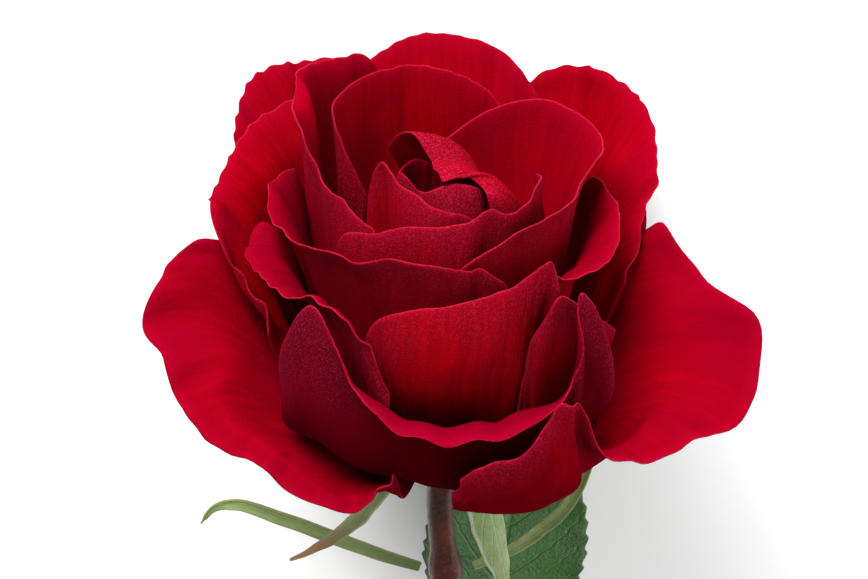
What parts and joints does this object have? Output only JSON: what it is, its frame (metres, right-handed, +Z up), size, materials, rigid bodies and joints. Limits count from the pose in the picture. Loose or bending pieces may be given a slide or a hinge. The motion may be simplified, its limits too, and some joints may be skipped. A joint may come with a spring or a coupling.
{
  "type": "cut rose",
  "caption": "Cut red rose lying down: a cupped double bloom of overlapping petals on a hip with sepals, a thorny stem, bracts and compound leaves.",
  "frame": {"origin": "centre of the bounding box's underside, on the surface that the flower lies on", "axes": "+Z up from the surface, +Y along the stem towards the bloom"},
  "size_m": [0.1372, 0.311, 0.0951],
  "materials": {
    "petal": "velvety red petal, crimson at its edges and paler outside",
    "hip": "satin green skin",
    "sepal": "matt green, downy and pale at the edges",
    "stem": "smooth satin red-brown bark",
    "bract": "satin olive green",
    "leaf_stalk": "satin green",
    "leaf": "satin dark green with paler veins"
  },
  "bodies": {
    "root": {"heart_petal_left": "petal", "heart_petal_front": "petal", "heart_petal_hood": "petal", "bud_petal_pointed": "petal", "back_petal_inner": "petal", "left_petal_tall": "petal", "front_petal_inner": "petal", "right_petal_wrap": "petal", "left_petal_lipped": "petal", "right_petal_inner": "petal", "right_petal_middle": "petal", "front_petal_bellied": "petal", "left_petal_reflexed": "petal", "front_petal_jaw": "petal", "left_petal_round": "petal", "back_petal_top": "petal", "right_petal_round": "petal", "back_petal_left": "petal", "left_petal_wing": "petal", "right_petal_wing": "petal", "guard_petal_back": "petal", "guard_petal_left": "petal", "guard_petal_right": "petal", "hip": "hip", "sepal_left": "sepal", "sepal_front": "sepal", "sepal_right": "sepal", "sepal_back": "sepal", "sepal_back_left": "sepal", "stem": "stem", "bract_left": "bract", "bract_right": "bract", "leaf_right_stalk": "leaf_stalk", "leaf_right_leaflet_end": "leaf", "leaf_left_stalk": "leaf_stalk", "leaf_left_leaflet_end": "leaf", "leaf_left_leaflet_upper_1": "leaf", "leaf_left_leaflet_lower_1": "leaf", "leaf_left_leaflet_upper_2": "leaf", "leaf_left_leaflet_lower_2": "leaf"}
  },
  "joints": []
}
